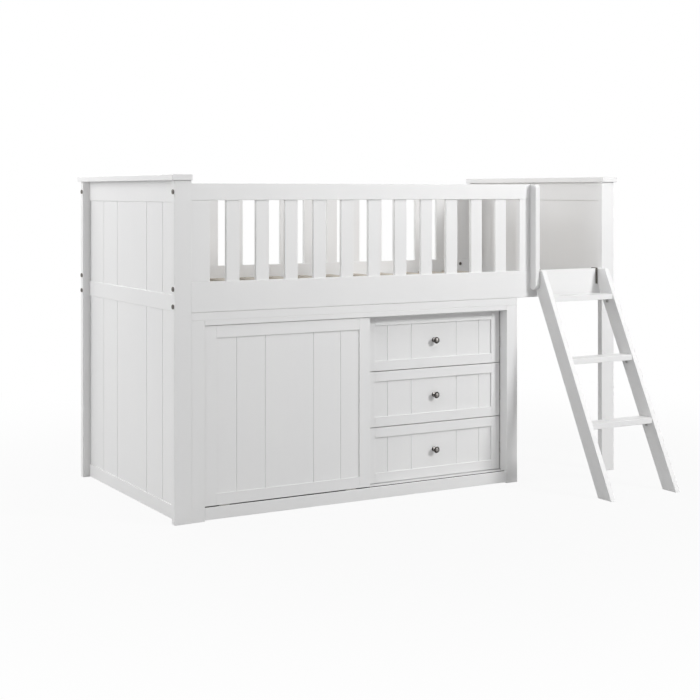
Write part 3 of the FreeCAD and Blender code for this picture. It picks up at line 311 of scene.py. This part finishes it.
class Finish:
    """A material under construction: its tree, its main shader and the object coordinates it reads."""

    def __init__(self, name):
        self.material = bpy.data.materials.new(name)
        self.material.use_nodes = True
        self.tree = self.material.node_tree
        self.shader = self.tree.nodes["Principled BSDF"]
        self.place = self.node("ShaderNodeTexCoord").outputs["Object"]

    def node(self, kind, **settings):
        """A node with its settings, and with the inputs that are given by name or linked to a socket."""
        made = self.tree.nodes.new(kind)
        inputs = settings.pop("inputs", {})
        for setting, value in settings.items():
            setattr(made, setting, value)
        for socket, value in inputs.items():
            if isinstance(value, bpy.types.NodeSocket):
                self.tree.links.new(value, made.inputs[socket])
            else:
                made.inputs[socket].default_value = value
        return made

    def stretched(self, axis, along):
        """Object coordinates drawn out along one axis, as wood grain is."""
        scale = [1.0, 1.0, 1.0]
        scale["XYZ".index(axis)] = along
        mapping = self.node("ShaderNodeMapping", inputs={"Vector": self.place, "Scale": scale})
        return mapping.outputs["Vector"]

    def noise(self, scale, detail=2.0, place=None, distortion=0.0):
        """Even noise, on the plain object coordinates or on others."""
        inputs = {"Vector": place or self.place, "Scale": scale, "Detail": detail, "Distortion": distortion}
        return self.node("ShaderNodeTexNoise", inputs=inputs).outputs["Fac"]

    def ramp(self, value, low, high):
        """The value spread over 0 to 1 between two levels."""
        inputs = {"Value": value, "From Min": low, "From Max": high}
        return self.node("ShaderNodeMapRange", inputs=inputs).outputs["Result"]

    def blend(self, share, first, second):
        """One colour turning into another."""
        mixed = self.node("ShaderNodeMix", data_type="RGBA", inputs={0: share})
        for number, colour in ((6, first), (7, second)):
            if isinstance(colour, bpy.types.NodeSocket):
                self.tree.links.new(colour, mixed.inputs[number])
            else:
                mixed.inputs[number].default_value = (*colour, 1.0)
        return mixed.outputs[2]

    def sum(self, first, second, share):
        """The first value plus a share of the second."""
        inputs = {0: second, 1: share, 2: first}
        return self.node("ShaderNodeMath", operation="MULTIPLY_ADD", inputs=inputs).outputs[0]

    def colour(self, socket):
        """The colour of the surface."""
        self.tree.links.new(socket, self.shader.inputs["Base Color"])

    def roughness(self, value, low, high):
        """Roughness that follows the value from low to high."""
        inputs = {"Value": value, "To Min": low, "To Max": high}
        spread = self.node("ShaderNodeMapRange", inputs=inputs)
        self.tree.links.new(spread.outputs["Result"], self.shader.inputs["Roughness"])

    def relief(self, *layers):
        """Bumps on top of each other, each a height socket with its depth in metres and its strength."""
        normal = None
        for height, depth, strength in layers:
            inputs = {"Height": height, "Distance": depth, "Strength": strength}
            if normal:
                inputs["Normal"] = normal
            normal = self.node("ShaderNodeBump", inputs=inputs).outputs["Normal"]
        self.tree.links.new(normal, self.shader.inputs["Normal"])

    def constants(self, values):
        """Shader inputs that are the same all over the surface."""
        for name, value in values.items():
            self.shader.inputs[name].default_value = value


def shade_of(colour, factor):
    """A colour made darker or lighter, up to white."""
    return tuple(min(part * factor, 1.0) for part in colour)


def lacquer(name, axis):
    """Satin white lacquer with faint fibres of the board under it and the fine skin of a sprayed coat."""
    settings = bpy.context.scene.loft_bed_finish
    finish = Finish(name)
    fibres = finish.noise(scale=70.0, detail=4.0, place=finish.stretched(axis, along=0.05))
    skin = finish.noise(scale=520.0, detail=1.0)
    drift = finish.noise(scale=2.6)
    tone = finish.ramp(finish.sum(drift, fibres, share=0.35), low=0.4, high=0.95)
    warm = tuple(part * share for part, share in zip(settings.paint, LACQUER_WARMTH))
    finish.colour(finish.blend(tone, shade_of(settings.paint, LACQUER_SHADE), warm))
    middle = settings.paint_roughness
    finish.roughness(finish.sum(drift, skin, share=0.5), low=middle - 0.1, high=middle + 0.06)
    finish.relief((fibres, 0.25 * MM, 0.25), (skin, 0.12 * MM, 0.3))
    finish.constants({"Specular IOR Level": 0.45})
    return finish.material


def pine(name, axis):
    """Planed pine: growth rings drawn out along the grain, fine fibres and a few knots."""
    settings = bpy.context.scene.loft_bed_finish
    finish = Finish(name)
    along = finish.stretched(axis, along=0.06)
    sway = finish.noise(scale=7.0, place=along)
    rings = finish.node(
        "ShaderNodeTexWave", wave_type="BANDS", bands_direction="DIAGONAL",
        inputs={"Vector": along, "Scale": 16.0, "Distortion": 9.0, "Detail": 2.0, "Detail Scale": 1.3},
    ).outputs["Fac"]
    fibres = finish.noise(scale=260.0, detail=3.0, place=finish.stretched(axis, along=0.02))
    knots = finish.node(
        "ShaderNodeTexVoronoi", voronoi_dimensions="2D",
        inputs={"Vector": finish.stretched(axis, along=0.55), "Scale": 4.0},
    ).outputs["Distance"]
    late_wood = finish.ramp(finish.sum(rings, sway, share=0.4), low=0.45, high=1.25)
    dark_fibres = finish.ramp(fibres, low=0.5, high=0.9)
    knot_hearts = finish.ramp(knots, low=0.075, high=0.03)
    wood = finish.blend(late_wood, settings.pine, shade_of(settings.pine, 0.72))
    wood = finish.blend(dark_fibres, wood, shade_of(settings.pine, 0.8))
    wood = finish.blend(knot_hearts, wood, shade_of(settings.pine, 0.3))
    finish.colour(wood)
    finish.roughness(fibres, low=0.5, high=0.72)
    finish.relief((rings, 0.4 * MM, 0.2), (fibres, 0.3 * MM, 0.35))
    return finish.material


def birch(name):
    """Pale birch with short flecks and a thin clear coat."""
    settings = bpy.context.scene.loft_bed_finish
    finish = Finish(name)
    cloud = finish.noise(scale=5.0, detail=3.0, place=finish.stretched("Y", along=0.25), distortion=0.6)
    flecks = finish.noise(scale=320.0, place=finish.stretched("Y", along=0.08))
    dark_cloud = finish.ramp(cloud, low=0.3, high=0.75)
    dark_flecks = finish.ramp(flecks, low=0.58, high=0.8)
    wood = finish.blend(dark_cloud, settings.birch, shade_of(settings.birch, 0.86))
    finish.colour(finish.blend(dark_flecks, wood, shade_of(settings.birch, 0.7)))
    finish.roughness(cloud, low=0.34, high=0.48)
    finish.relief((flecks, 0.2 * MM, 0.25))
    finish.constants({"Coat Weight": 0.2, "Coat Roughness": 0.25})
    return finish.material


def metal(name, colour, roughness, worn):
    """Metal with blotches of wear and fine tool marks."""
    finish = Finish(name)
    blotches = finish.noise(scale=160.0, detail=4.0, distortion=0.8)
    marks = finish.noise(scale=900.0, place=finish.stretched("Y", along=4.0))
    tone = finish.sum(blotches, marks, share=0.4)
    finish.colour(finish.blend(finish.ramp(tone, low=0.5, high=1.0), colour, shade_of(colour, worn)))
    finish.roughness(tone, low=roughness - 0.08, high=roughness + 0.12)
    finish.relief((marks, 0.05 * MM, 0.35))
    finish.constants({"Metallic": 1.0})
    return finish.material


def antique_nickel(name):
    """Dark antique nickel, lightened on the neck and in the middle of the face by a painted highlight and
    reflection together with rubbed wear.
    """
    settings = bpy.context.scene.loft_bed_finish
    finish = Finish(name)
    rub = finish.node("ShaderNodeAttribute", attribute_name=RUB_AND_HIGHLIGHT).outputs["Fac"]
    blotches = finish.noise(scale=160.0, detail=4.0, distortion=0.8)
    marks = finish.noise(scale=900.0)
    # Painted highlight and reflection, mixed with rubbed wear: the neck and the face's middle are made
    # lighter in colour
    highlight_share = finish.ramp(finish.sum(rub, blotches, share=0.3), low=0.15, high=1.15)
    finish.colour(finish.blend(highlight_share, settings.knob_metal, settings.knob_rub_and_highlight))
    finish.roughness(blotches, low=0.2, high=0.36)
    finish.relief((marks, 0.04 * MM, 0.3))
    finish.constants({"Metallic": 1.0})
    return finish.material


def plastic(name, colour):
    """Moulded plastic with faint clouds and the grain of its mould."""
    finish = Finish(name)
    cloud = finish.noise(scale=40.0)
    grain = finish.noise(scale=1400.0, detail=1.0)
    finish.colour(finish.blend(cloud, colour, shade_of(colour, 0.93)))
    finish.roughness(grain, low=0.35, high=0.55)
    finish.relief((grain, 0.1 * MM, 0.3))
    finish.constants({"Subsurface Weight": 0.1})
    return finish.material


def dress(node_names, material):
    """Puts a finish on CAD nodes."""
    for name in node_names:
        materials = frame["nodes"][name].data.materials
        materials.clear()
        materials.append(material)


def slot_nodes(slot):
    """The CAD nodes that the record gives one material."""
    return [part["node"] for part in frame["record"]["subparts"] if part["material_slot"] == slot]


def new_piece(name, shape, material, body):
    """Makes a bmesh an object of the scene that rides on a body."""
    bmesh.ops.remove_doubles(shape, verts=shape.verts, dist=WELD)
    bmesh.ops.recalc_face_normals(shape, faces=shape.faces)
    mesh = bpy.data.meshes.new(name)
    shape.to_mesh(mesh)
    shape.free()
    mesh.materials.append(material)
    mesh.shade_smooth()
    mesh.set_sharp_from_angle(angle=SHARP_ANGLE)
    piece = bpy.data.objects.new(name, mesh)
    bpy.context.scene.collection.objects.link(piece)
    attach(piece, body)
    return piece


def arc(centre, radius, start, end, steps):
    """Points of an arc in a turned piece's outline: distance from its tip, and distance from its axis."""
    turns = [math.radians(start + (end - start) * step / steps) for step in range(steps + 1)]
    return [(centre[0] + radius * math.cos(turn), centre[1] + radius * math.sin(turn)) for turn in turns]


def quarter_turn():
    """Shares of a quarter turn from 0 to 1, each with its angle."""
    shares = [step / CURVE_STEPS for step in range(CURVE_STEPS + 1)]
    return [(share, math.radians(90.0 * share)) for share in shares]


def knob_outline(length, head, shank_length):
    """A knob's outline from the middle of its face to the end of its shank.

    Each point is its distance from the tip, its distance from the axis, and how far it is lightened by a
    painted highlight and reflection together with rubbed wear.
    """
    sizes = bpy.context.scene.loft_bed_hardware
    bead = sizes.knob_bead
    face = head - bead
    dome = (face * face + sizes.knob_rise * sizes.knob_rise) / (2 * sizes.knob_rise)
    spread = math.degrees(math.asin(face / dome))
    outline = []
    for along, out in arc((dome, 0.0), dome, 180.0, 180.0 - spread, DOME_STEPS):
        # Painted highlight in the middle of the domed face, fading outwards
        outline.append((along, out, FACE_RUB_AND_HIGHLIGHT * max(1.0 - (out / face / FACE_HIGHLIGHT_REACH) ** 2, 0.0)))
    edge = sizes.knob_rise + bead
    outline += [(along, out, 0.0) for along, out in arc((edge, face), bead, 180.0, 0.0, BEAD_STEPS)[1:]]
    cove_start = edge + bead
    waist = face - bead
    drop = waist - sizes.knob_neck
    # Painted highlight and reflection grow towards the neck and fade again along the flare to the collar
    for share, turn in quarter_turn():
        along = cove_start + sizes.knob_cove * math.sin(turn)
        outline.append((along, waist - drop * (1 - math.cos(turn)) ** 0.5, share))
    collar_bead = bead * COLLAR_BEAD
    collar_start = length - 2 * collar_bead
    flare = sizes.knob_collar - collar_bead - sizes.knob_neck
    for share, turn in quarter_turn():
        along = collar_start - sizes.knob_flare * math.cos(turn)
        outline.append((along, sizes.knob_neck + flare * (1 - math.cos(turn)), 1 - share))
    collar_middle = (length - collar_bead, sizes.knob_collar - collar_bead)
    collar = arc(collar_middle, collar_bead, 180.0, 0.0, CURVE_STEPS)
    outline += [(along, out, 0.0) for along, out in collar]
    outline.append((length, sizes.knob_shank, 0.0))
    outline.append((length + shank_length, sizes.knob_shank, 0.0))
    outline.append((length + shank_length, 0.0, 0.0))
    return outline


def add_knob(shape, tip, length, head, shank_length, steps):
    """Spins a knob's outline round its axis, which runs back from the tip along +Y."""
    rub = shape.verts.layers.float.new(RUB_AND_HIGHLIGHT)
    rings = []
    for along, out, rub_and_highlight_share in knob_outline(length, head, shank_length):
        vertex = shape.verts.new(tip + Vector((0.0, along, max(out, 0.0))))
        vertex[rub] = rub_and_highlight_share
        rings.append(vertex)
    edges = [shape.edges.new(pair) for pair in zip(rings, rings[1:])]
    bmesh.ops.spin(
        shape, geom=rings + edges, cent=tip, axis=(0, 1, 0), angle=math.tau, steps=steps, use_merge=True,
    )


def set_on(shape, first, seat, axis):
    """Turns what was added since vertex number first from +Z onto an axis, and moves it to its seat."""
    shape.verts.ensure_lookup_table()
    added = shape.verts[first:]
    turn = Vector((0, 0, 1)).rotation_difference(Vector(axis)).to_matrix()
    bmesh.ops.rotate(shape, verts=added, cent=(0, 0, 0), matrix=turn)
    bmesh.ops.translate(shape, verts=added, vec=seat)


def only_face(geometry):
    """The one face in what an operator gave back."""
    return next(item for item in geometry if isinstance(item, bmesh.types.BMFace))


def add_screw(shape, seat, axis, radius, height):
    """A cross-head screw's domed head, with its recess, on a seat that faces along an axis."""
    first = len(shape.verts)
    disc = bmesh.ops.create_circle(shape, cap_ends=True, segments=SCREW_CORNERS, radius=radius)["verts"]
    face = only_face(disc[0].link_faces)
    for rise, width in SCREW_DOME:
        face = only_face(bmesh.ops.extrude_face_region(shape, geom=[face])["geom"])
        bmesh.ops.translate(shape, verts=face.verts, vec=(0, 0, height * rise))
        narrowing = radius * width / face.verts[0].co.xy.length
        bmesh.ops.scale(shape, verts=face.verts, vec=(narrowing, narrowing, 1))
    face = only_face(bmesh.ops.extrude_face_region(shape, geom=[face])["geom"])
    arm = radius * CROSS_REACH
    half = radius * CROSS_HALF
    cross = [(arm, -half), (arm, half), (half, half)]
    for number, vertex in enumerate(sorted(face.verts, key=lambda item: math.atan2(item.co.y, item.co.x))):
        quarter, corner = divmod(number, len(cross))
        turn = math.radians(90.0 * quarter - 180.0)
        across, up = cross[corner]
        vertex.co.x = across * math.cos(turn) - up * math.sin(turn)
        vertex.co.y = across * math.sin(turn) + up * math.cos(turn)
    face = only_face(bmesh.ops.extrude_face_region(shape, geom=[face])["geom"])
    bmesh.ops.translate(shape, verts=face.verts, vec=(0, 0, -height * CROSS_DEPTH))
    bmesh.ops.scale(shape, verts=face.verts, vec=(CROSS_TAPER, CROSS_TAPER, 1))
    set_on(shape, first, seat, axis)


def add_pin(shape, seat, axis, radius):
    """A panel pin's low round head."""
    first = len(shape.verts)
    disc = bmesh.ops.create_circle(shape, cap_ends=True, segments=PIN_CORNERS, radius=radius)["verts"]
    face = only_face(disc[0].link_faces)
    for rise, width in PIN_DOME:
        face = only_face(bmesh.ops.extrude_face_region(shape, geom=[face])["geom"])
        bmesh.ops.translate(shape, verts=face.verts, vec=(0, 0, radius * rise))
        bmesh.ops.scale(shape, verts=face.verts, vec=(width, width, 1))
    set_on(shape, first, seat, axis)


def solids_of(node):
    """Boxes of a node's separate solids, as pairs of lowest and highest corners."""
    shape = bmesh.new()
    shape.from_mesh(frame["nodes"][node].data)
    bmesh.ops.remove_doubles(shape, verts=shape.verts, dist=CAD_WELD)
    boxes = []
    waiting = set(shape.verts)
    while waiting:
        heap = [waiting.pop()]
        island = []
        while heap:
            vertex = heap.pop()
            island.append(vertex.co.copy())
            for edge in vertex.link_edges:
                other = edge.other_vert(vertex)
                if other in waiting:
                    waiting.remove(other)
                    heap.append(other)
        low = Vector([min(point[axis] for point in island) for axis in range(3)])
        high = Vector([max(point[axis] for point in island) for axis in range(3)])
        boxes.append((low, high))
    shape.free()
    return boxes


class LOFTBED_OT_paint_boards(bpy.types.Operator):
    """Spray the boards of the bed, cabinet, door, drawers and ladder in satin white"""

    bl_idname = "loftbed.paint_boards"
    bl_label = "Paint Boards"

    def execute(self, context):
        dress(UPRIGHT_BOARDS, lacquer("white_lacquer_upright", "Z"))
        dress(CROSS_BOARDS, lacquer("white_lacquer_cross", "Y"))
        dress(LONG_BOARDS, lacquer("white_lacquer_long", "X"))
        painted = set(UPRIGHT_BOARDS + CROSS_BOARDS + LONG_BOARDS)
        missed = set(slot_nodes("white_paint")) - painted
        if missed:
            raise RuntimeError(f"boards left unpainted: {sorted(missed)}")
        return {"FINISHED"}


class LOFTBED_OT_finish_bare_wood(bpy.types.Operator):
    """Give the bed slats, dowels, runners and drawer boxes their bare wood"""

    bl_idname = "loftbed.finish_bare_wood"
    bl_label = "Finish Bare Wood"

    def execute(self, context):
        dress(slot_nodes("bare_pine"), pine("planed_pine", "Y"))
        dress(slot_nodes("drawer_birch"), birch("lacquered_birch"))
        return {"FINISHED"}


class LOFTBED_OT_finish_fittings(bpy.types.Operator):
    """Finish the bolts, nuts, hooks and brackets, and the door's glides and track"""

    bl_idname = "loftbed.finish_fittings"
    bl_label = "Finish Fittings"

    def execute(self, context):
        settings = context.scene.loft_bed_finish
        dark = settings.fitting_metal
        bolts = metal("blackened_bolts", dark, roughness=0.38, worn=1.8)
        straps = metal("dark_straps", shade_of(dark, 1.2), roughness=0.42, worn=1.4)
        brackets = metal("zinc_brackets", settings.bracket_metal, roughness=0.36, worn=0.8)
        dress(slot_nodes("bolt_steel"), bolts)
        dress(slot_nodes("hook_steel"), straps)
        dress(slot_nodes("bracket_zinc"), brackets)
        dress(slot_nodes("glide_nylon"), plastic("natural_nylon", settings.nylon))
        # The track's near-black colour also paints the shade in the groove under the door
        dress(slot_nodes("track_plastic"), plastic("track_plastic", settings.track))
        return {"FINISHED"}


class LOFTBED_OT_turn_knobs(bpy.types.Operator):
    """Turn the drawers' knobs, with a beaded head, a waisted neck and a collar"""

    bl_idname = "loftbed.turn_knobs"
    bl_label = "Turn Knobs"

    def execute(self, context):
        sizes = context.scene.loft_bed_hardware
        nickel = antique_nickel("antique_nickel")
        for drawer in DRAWERS:
            low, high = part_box(f"{drawer}_knob")
            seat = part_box(f"{drawer}_panel")[0].y
            tip = Vector(((low.x + high.x) / 2, low.y, (low.z + high.z) / 2))
            shape = bmesh.new()
            add_knob(shape, tip, seat - low.y, (high.x - low.x) / 2, high.y - seat, sizes.knob_steps)
            knob = new_piece(f"{drawer}_turned_knob", shape, nickel, drawer)
            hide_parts(f"{drawer}_knob")
        return {"FINISHED"}


def bracket_screws(zinc):
    """Two screws in each of the ladder's brackets: up into the step and sideways into the stringer."""
    sizes = bpy.context.scene.loft_bed_hardware
    shape = bmesh.new()
    middle = sum(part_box("ladder_steps"), Vector()).x / 2
    for low, high in solids_of("ladder_brackets"):
        deep = (low.y + high.y) / 2
        inward = 1.0 if low.x < middle else -1.0
        outer, inner = (low.x, high.x) if inward > 0 else (high.x, low.x)
        flat_x = inner - inward * (abs(inner - outer) * BRACKET_HOLE)
        upright_z = low.z + (high.z - low.z) * BRACKET_HOLE
        under = (flat_x, deep, high.z - BRACKET_SHEET)
        beside = (outer + inward * BRACKET_SHEET, deep, upright_z)
        add_screw(shape, under, (0, 0, -1), sizes.screw_radius, sizes.screw_height)
        add_screw(shape, beside, (inward, 0, 0), sizes.screw_radius, sizes.screw_height)
    new_piece("bracket_screws", shape, zinc, "ladder")


def slat_screws(zinc):
    """A half-sunk screw where each bed slat lies on a ledger."""
    sizes = bpy.context.scene.loft_bed_hardware
    proud = sizes.screw_height * SLAT_SCREW_PROUD
    shape = bmesh.new()
    ledgers = solids_of("slat_ledgers")
    for low, high in solids_of("bed_slats"):
        for ledger_low, ledger_high in ledgers:
            seat = ((low.x + high.x) / 2, (ledger_low.y + ledger_high.y) / 2, high.z)
            add_screw(shape, seat, (0, 0, 1), sizes.screw_radius, proud)
    new_piece("slat_screws", shape, zinc, "frame")


def evenly(start, end, pitch):
    """Places from start to end, no farther apart than the pitch."""
    count = math.ceil((end - start) / pitch)
    return [start + (end - start) * number / count for number in range(count + 1)]


def back_pins(zinc):
    """The pins of the cabinet's back, up both sides and along the bottom and the top."""
    sizes = bpy.context.scene.loft_bed_hardware
    shape = bmesh.new()
    low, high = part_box("cabinet_back")
    left = low.x + PIN_INSET
    right = high.x - PIN_INSET
    bottom = low.z + PIN_INSET
    top = high.z - PIN_INSET
    places = [(side, rise) for side in (left, right) for rise in evenly(bottom, top, sizes.pin_pitch)]
    for rise in (low.z + PIN_FOOT, top):
        places += [(side, rise) for side in evenly(left, right, sizes.pin_pitch)[1:-1]]
    for side, rise in places:
        add_pin(shape, (side, high.y, rise), (0, 1, 0), sizes.pin_radius)
    new_piece("back_panel_pins", shape, zinc, "frame")


def is_wall(box):
    """Whether a solid of a drawer box is wide and high, as its front and back are."""
    size = box[1] - box[0]
    return min(size.x, size.z) > DRAWER_WALL_LEAST


def knob_screws(zinc):
    """The screw that holds each knob, inside its drawer."""
    sizes = bpy.context.scene.loft_bed_hardware
    for drawer in DRAWERS:
        low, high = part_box(f"{drawer}_knob")
        walls = [box for box in solids_of(f"{drawer}_box") if is_wall(box)]
        front = min(walls, key=lambda box: box[0].y)
        seat = ((low.x + high.x) / 2, front[1].y, (low.z + high.z) / 2)
        shape = bmesh.new()
        add_screw(shape, seat, (0, 1, 0), sizes.screw_radius * KNOB_SCREW_SIZE, sizes.screw_height)
        new_piece(f"{drawer}_knob_screw", shape, zinc, drawer)


class LOFTBED_OT_drive_screws(bpy.types.Operator):
    """Drive the screws of the ladder's brackets, the bed slats and the knobs, and the back's pins"""

    bl_idname = "loftbed.drive_screws"
    bl_label = "Drive Screws"

    def execute(self, context):
        zinc = metal("zinc_screws", context.scene.loft_bed_finish.screw_metal, roughness=0.34, worn=0.7)
        bracket_screws(zinc)
        slat_screws(zinc)
        back_pins(zinc)
        knob_screws(zinc)
        return {"FINISHED"}


def area_light(name, place, target, power, width, height):
    """A soft box that faces a target."""
    lamp = bpy.data.lights.new(name, "AREA")
    lamp.shape = "RECTANGLE"
    lamp.size = width
    lamp.size_y = height
    lamp.energy = power
    light = bpy.data.objects.new(name, lamp)
    light.location = place
    light.rotation_euler = (Vector(target) - Vector(place)).to_track_quat("-Z", "Y").to_euler()
    light.visible_camera = False
    bpy.context.scene.collection.objects.link(light)


def seen_directly(tree):
    """One for rays from the camera, from gloss and through glass, and zero for light that bounces."""
    path = tree.nodes.new("ShaderNodeLightPath")
    total = path.outputs["Is Camera Ray"]
    for ray in ("Is Glossy Ray", "Is Transmission Ray"):
        either = tree.nodes.new("ShaderNodeMath")
        either.operation = "MAXIMUM"
        tree.links.new(total, either.inputs[0])
        tree.links.new(path.outputs[ray], either.inputs[1])
        total = either.outputs[0]
    return total


def white_world(ambient):
    """A white backdrop that lights the bed evenly, at a strength of its own."""
    world = bpy.data.worlds.new("white_studio")
    bpy.context.scene.world = world
    world.use_nodes = True
    tree = world.node_tree
    background = tree.nodes["Background"]
    background.inputs["Color"].default_value = (1, 1, 1, 1)
    strength = tree.nodes.new("ShaderNodeMix")
    tree.links.new(seen_directly(tree), strength.inputs[0])
    strength.inputs[2].default_value = ambient
    strength.inputs[3].default_value = 1.0
    tree.links.new(strength.outputs[0], background.inputs["Strength"])


def white_floor_material():
    """A pale floor that shows the bed's shadow near it and runs out into the white backdrop."""
    finish = Finish("white_floor")
    tree = finish.tree
    finish.constants({"Roughness": 0.9, "Specular IOR Level": 0.1})
    speckle = finish.noise(scale=30.0, detail=3.0)
    finish.colour(finish.blend(speckle, *FLOOR_GREYS))
    glow = finish.node("ShaderNodeEmission", inputs={"Color": (1, 1, 1, 1), "Strength": 1.0})
    reach = finish.node("ShaderNodeVectorMath", operation="LENGTH", inputs={0: finish.place})
    near = finish.node(
        "ShaderNodeMapRange", interpolation_type="SMOOTHSTEP",
        inputs={
            "Value": reach.outputs["Value"], "From Min": FLOOR_NEAR, "From Max": FLOOR_FAR,
            "To Min": FLOOR_GLOW, "To Max": 1.0,
        },
    )
    share = finish.node(
        "ShaderNodeMath", operation="MULTIPLY", inputs={0: seen_directly(tree), 1: near.outputs["Result"]},
    )
    mixed = finish.node("ShaderNodeMixShader", inputs={0: share.outputs[0]})
    tree.links.new(finish.shader.outputs["BSDF"], mixed.inputs[1])
    tree.links.new(glow.outputs["Emission"], mixed.inputs[2])
    tree.links.new(mixed.outputs["Shader"], tree.nodes["Material Output"].inputs["Surface"])
    return finish.material


class LOFTBED_OT_set_stage(bpy.types.Operator):
    """Set the white floor and backdrop, the studio lights and the camera"""

    bl_idname = "loftbed.set_stage"
    bl_label = "Set Stage"

    def execute(self, context):
        stage = context.scene.loft_bed_stage
        context.scene.view_settings.view_transform = "Standard"
        shape = bmesh.new()
        bmesh.ops.create_grid(shape, x_segments=8, y_segments=8, size=stage.floor_size / 2)
        mesh = bpy.data.meshes.new("floor")
        shape.to_mesh(mesh)
        shape.free()
        mesh.materials.append(white_floor_material())
        floor = bpy.data.objects.new("floor", mesh)
        context.scene.collection.objects.link(floor)
        white_world(stage.ambient)
        middle = (CAD_BOX[0] + CAD_BOX[1]) / 2
        drawers = sum(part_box("middle_drawer_panel"), Vector()) / 2
        for name, (place, width, height) in SOFT_BOXES.items():
            target = drawers if name in AIMED_AT_DRAWERS else middle
            area_light(name, place, target, getattr(stage, f"{name}_power"), width, height)
        camera = bpy.data.objects.new("camera", bpy.data.cameras.new("camera"))
        camera.location = stage.camera_place
        camera.rotation_euler = (math.pi / 2, 0.0, -stage.camera_turn)
        camera.data.lens = stage.lens
        camera.data.shift_y = stage.drop
        context.scene.collection.objects.link(camera)
        context.scene.camera = camera
        return {"FINISHED"}


STEPS = (
    LOFTBED_OT_paint_boards, LOFTBED_OT_finish_bare_wood, LOFTBED_OT_finish_fittings,
    LOFTBED_OT_turn_knobs, LOFTBED_OT_drive_screws, LOFTBED_OT_set_stage,
)


class LOFTBED_PT_sidebar(bpy.types.Panel):
    """Sidebar panel with the steps and settings of the loft bed"""

    bl_idname = "LOFTBED_PT_sidebar"
    bl_label = "Low Loft Bed"
    bl_space_type = "VIEW_3D"
    bl_region_type = "UI"
    bl_category = "Loft Bed"

    def draw(self, context):
        scene = context.scene
        for group in (scene.loft_bed_finish, scene.loft_bed_hardware, scene.loft_bed_stage):
            box = self.layout.box()
            for name in group.__annotations__:
                box.prop(group, name)
        for step in STEPS:
            self.layout.operator(step.bl_idname)


SETTINGS = {
    "loft_bed_finish": LoftBedFinish,
    "loft_bed_hardware": LoftBedHardware,
    "loft_bed_stage": LoftBedStage,
}


def register():
    for group in SETTINGS.values():
        bpy.utils.register_class(group)
    for step in STEPS:
        bpy.utils.register_class(step)
    bpy.utils.register_class(LOFTBED_PT_sidebar)
    for name, group in SETTINGS.items():
        setattr(bpy.types.Scene, name, PointerProperty(type=group))


def unregister():
    for name in SETTINGS:
        delattr(bpy.types.Scene, name)
    bpy.utils.unregister_class(LOFTBED_PT_sidebar)
    for step in reversed(STEPS):
        bpy.utils.unregister_class(step)
    for group in reversed(list(SETTINGS.values())):
        bpy.utils.unregister_class(group)


def main():
    register()
    bpy.ops.loftbed.paint_boards()
    bpy.ops.loftbed.finish_bare_wood()
    bpy.ops.loftbed.finish_fittings()
    bpy.ops.loftbed.turn_knobs()
    bpy.ops.loftbed.drive_screws()
    bpy.ops.loftbed.set_stage()


if __name__ == "__main__":
    main()
